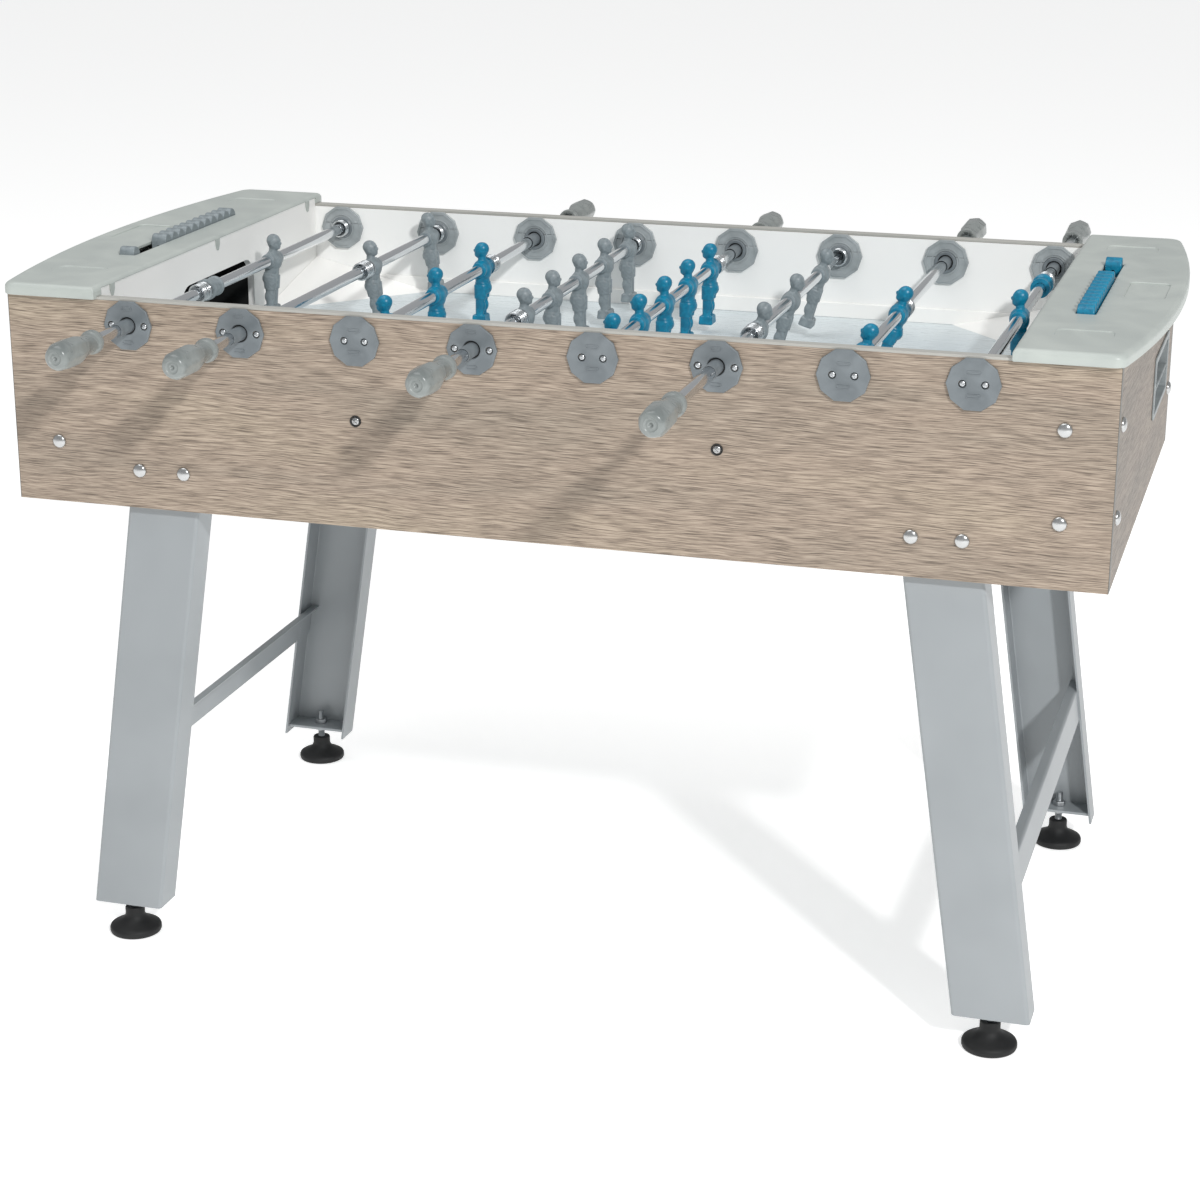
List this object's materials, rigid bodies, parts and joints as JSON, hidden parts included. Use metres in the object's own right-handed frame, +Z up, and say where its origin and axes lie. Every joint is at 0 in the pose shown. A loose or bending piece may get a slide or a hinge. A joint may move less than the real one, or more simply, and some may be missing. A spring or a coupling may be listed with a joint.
{
  "type": "foosball table",
  "caption": "Table football game: laminated cabinet on splayed steel leg frames, with telescopic player rods, bead counters and a ball return.",
  "frame": {"origin": "on the floor, under the centre of the table", "axes": "+X along the table from the grey goal to the teal goal, +Z up, -Y towards the side where the grey team stands"},
  "size_m": [1.454, 1.306, 0.899],
  "materials": {
    "laminate": "wood-grain laminate on board",
    "white_board": "white laminate",
    "zinc_sheet": "zinc-coated folded sheet",
    "cover_plastic": "grey-green moulded plastic",
    "powder_coat": "light grey powder coat",
    "grey_moulding": "grey moulded plastic",
    "polished_steel": "polished chrome plating",
    "grey_team": "grey moulded plastic on a chromed tube",
    "teal_team": "teal moulded plastic on a chromed tube",
    "black_rubber": "black rubber"
  },
  "bodies": {
    "root": {"front_panel": "laminate", "rear_panel": "laminate", "right_end_panel": "laminate", "left_end_panel": "laminate", "playfield": "white_board", "ball_return": "zinc_sheet", "right_goal_wall": "white_board", "left_goal_wall": "white_board", "right_end_cover": "cover_plastic", "left_end_cover": "cover_plastic", "right_leg_frame": "powder_coat", "left_leg_frame": "powder_coat", "grey_goalkeeper_bearing": "grey_moulding", "grey_goalkeeper_end_socket": "grey_moulding", "grey_defence_bearing": "grey_moulding", "grey_defence_end_socket": "grey_moulding", "teal_attack_bearing": "grey_moulding", "teal_attack_end_socket": "grey_moulding", "grey_midfield_bearing": "grey_moulding", "grey_midfield_end_socket": "grey_moulding", "teal_midfield_bearing": "grey_moulding", "teal_midfield_end_socket": "grey_moulding", "grey_attack_bearing": "grey_moulding", "grey_attack_end_socket": "grey_moulding", "teal_defence_bearing": "grey_moulding", "teal_defence_end_socket": "grey_moulding", "teal_goalkeeper_bearing": "grey_moulding", "teal_goalkeeper_end_socket": "grey_moulding"},
    "grey_goalkeeper_inner_rod": {"grey_goalkeeper_inner_rod": "polished_steel"},
    "grey_goalkeeper_rod": {"grey_goalkeeper_rod": "grey_team", "grey_goalkeeper_handle": "grey_moulding"},
    "grey_defence_inner_rod": {"grey_defence_inner_rod": "polished_steel"},
    "grey_defence_rod": {"grey_defence_rod": "grey_team", "grey_defence_handle": "grey_moulding"},
    "teal_attack_inner_rod": {"teal_attack_inner_rod": "polished_steel"},
    "teal_attack_rod": {"teal_attack_rod": "teal_team", "teal_attack_handle": "grey_moulding"},
    "grey_midfield_inner_rod": {"grey_midfield_inner_rod": "polished_steel"},
    "grey_midfield_rod": {"grey_midfield_rod": "grey_team", "grey_midfield_handle": "grey_moulding"},
    "teal_midfield_inner_rod": {"teal_midfield_inner_rod": "polished_steel"},
    "teal_midfield_rod": {"teal_midfield_rod": "teal_team", "teal_midfield_handle": "grey_moulding"},
    "grey_attack_inner_rod": {"grey_attack_inner_rod": "polished_steel"},
    "grey_attack_rod": {"grey_attack_rod": "grey_team", "grey_attack_handle": "grey_moulding"},
    "teal_defence_inner_rod": {"teal_defence_inner_rod": "polished_steel"},
    "teal_defence_rod": {"teal_defence_rod": "teal_team", "teal_defence_handle": "grey_moulding"},
    "teal_goalkeeper_inner_rod": {"teal_goalkeeper_inner_rod": "polished_steel"},
    "teal_goalkeeper_rod": {"teal_goalkeeper_rod": "teal_team", "teal_goalkeeper_handle": "grey_moulding"},
    "right_bead_stack": {"right_bead_stack": "teal_team"},
    "right_scored_bead": {"right_scored_bead": "teal_team"},
    "left_bead_stack": {"left_bead_stack": "grey_team"},
    "left_scored_bead": {"left_scored_bead": "grey_team"},
    "front_right_foot": {"front_right_foot": "black_rubber"},
    "rear_right_foot": {"rear_right_foot": "black_rubber"},
    "front_left_foot": {"front_left_foot": "black_rubber"},
    "rear_left_foot": {"rear_left_foot": "black_rubber"}
  },
  "joints": [
    {"name": "grey_goalkeeper_turn", "type": "hinge", "parent": "root", "child": "grey_goalkeeper_inner_rod", "pos_m": [-0.525, 0, 0.843], "axis": [0, 1, 0], "range_deg": [-210, 63]},
    {"name": "grey_goalkeeper_slide", "type": "slide", "parent": "grey_goalkeeper_inner_rod", "child": "grey_goalkeeper_rod", "axis": [0, -1, 0], "range_m": [0, 0.168]},
    {"name": "grey_defence_turn", "type": "hinge", "parent": "root", "child": "grey_defence_inner_rod", "pos_m": [-0.375, 0, 0.843], "axis": [0, 1, 0], "continuous": true},
    {"name": "grey_defence_slide", "type": "slide", "parent": "grey_defence_inner_rod", "child": "grey_defence_rod", "axis": [0, -1, 0], "range_m": [0, 0.366]},
    {"name": "teal_attack_turn", "type": "hinge", "parent": "root", "child": "teal_attack_inner_rod", "pos_m": [-0.225, 0, 0.843], "axis": [0, 1, 0], "continuous": true},
    {"name": "teal_attack_slide", "type": "slide", "parent": "teal_attack_inner_rod", "child": "teal_attack_rod", "axis": [0, 1, 0], "range_m": [-0.049, 0.177]},
    {"name": "grey_midfield_turn", "type": "hinge", "parent": "root", "child": "grey_midfield_inner_rod", "pos_m": [-0.075, 0, 0.843], "axis": [0, 1, 0], "continuous": true},
    {"name": "grey_midfield_slide", "type": "slide", "parent": "grey_midfield_inner_rod", "child": "grey_midfield_rod", "axis": [0, -1, 0], "range_m": [0, 0.122]},
    {"name": "teal_midfield_turn", "type": "hinge", "parent": "root", "child": "teal_midfield_inner_rod", "pos_m": [0.075, 0, 0.843], "axis": [0, 1, 0], "continuous": true},
    {"name": "teal_midfield_slide", "type": "slide", "parent": "teal_midfield_inner_rod", "child": "teal_midfield_rod", "axis": [0, 1, 0], "range_m": [-0.031, 0.091]},
    {"name": "grey_attack_turn", "type": "hinge", "parent": "root", "child": "grey_attack_inner_rod", "pos_m": [0.225, 0, 0.843], "axis": [0, 1, 0], "continuous": true},
    {"name": "grey_attack_slide", "type": "slide", "parent": "grey_attack_inner_rod", "child": "grey_attack_rod", "axis": [0, -1, 0], "range_m": [-0.094, 0.132]},
    {"name": "teal_defence_turn", "type": "hinge", "parent": "root", "child": "teal_defence_inner_rod", "pos_m": [0.375, 0, 0.843], "axis": [0, 1, 0], "continuous": true},
    {"name": "teal_defence_slide", "type": "slide", "parent": "teal_defence_inner_rod", "child": "teal_defence_rod", "axis": [0, 1, 0], "range_m": [-0.069, 0.297]},
    {"name": "teal_goalkeeper_turn", "type": "hinge", "parent": "root", "child": "teal_goalkeeper_inner_rod", "pos_m": [0.525, 0, 0.843], "axis": [0, 1, 0], "range_deg": [-68, 205]},
    {"name": "teal_goalkeeper_slide", "type": "slide", "parent": "teal_goalkeeper_inner_rod", "child": "teal_goalkeeper_rod", "axis": [0, 1, 0], "range_m": [-0.094, 0.074]},
    {"name": "right_scored_bead_slide", "type": "slide", "parent": "root", "child": "right_scored_bead", "axis": [0, -1, 0], "range_m": [0, 0.0748]},
    {"name": "right_bead_stack_slide", "type": "slide", "parent": "root", "child": "right_bead_stack", "axis": [0, -1, 0], "range_m": [-0.0748, 0]},
    {"name": "left_scored_bead_slide", "type": "slide", "parent": "root", "child": "left_scored_bead", "axis": [0, 1, 0], "range_m": [0, 0.0748]},
    {"name": "left_bead_stack_slide", "type": "slide", "parent": "root", "child": "left_bead_stack", "axis": [0, 1, 0], "range_m": [-0.0748, 0]},
    {"name": "front_right_foot_screw", "type": "slide", "parent": "root", "child": "front_right_foot", "axis": [0, 0, 1], "range_m": [-0.02, 0.008]},
    {"name": "rear_right_foot_screw", "type": "slide", "parent": "root", "child": "rear_right_foot", "axis": [0, 0, 1], "range_m": [-0.02, 0.008]},
    {"name": "front_left_foot_screw", "type": "slide", "parent": "root", "child": "front_left_foot", "axis": [0, 0, 1], "range_m": [-0.02, 0.008]},
    {"name": "rear_left_foot_screw", "type": "slide", "parent": "root", "child": "rear_left_foot", "axis": [0, 0, 1], "range_m": [-0.02, 0.008]}
  ]
}
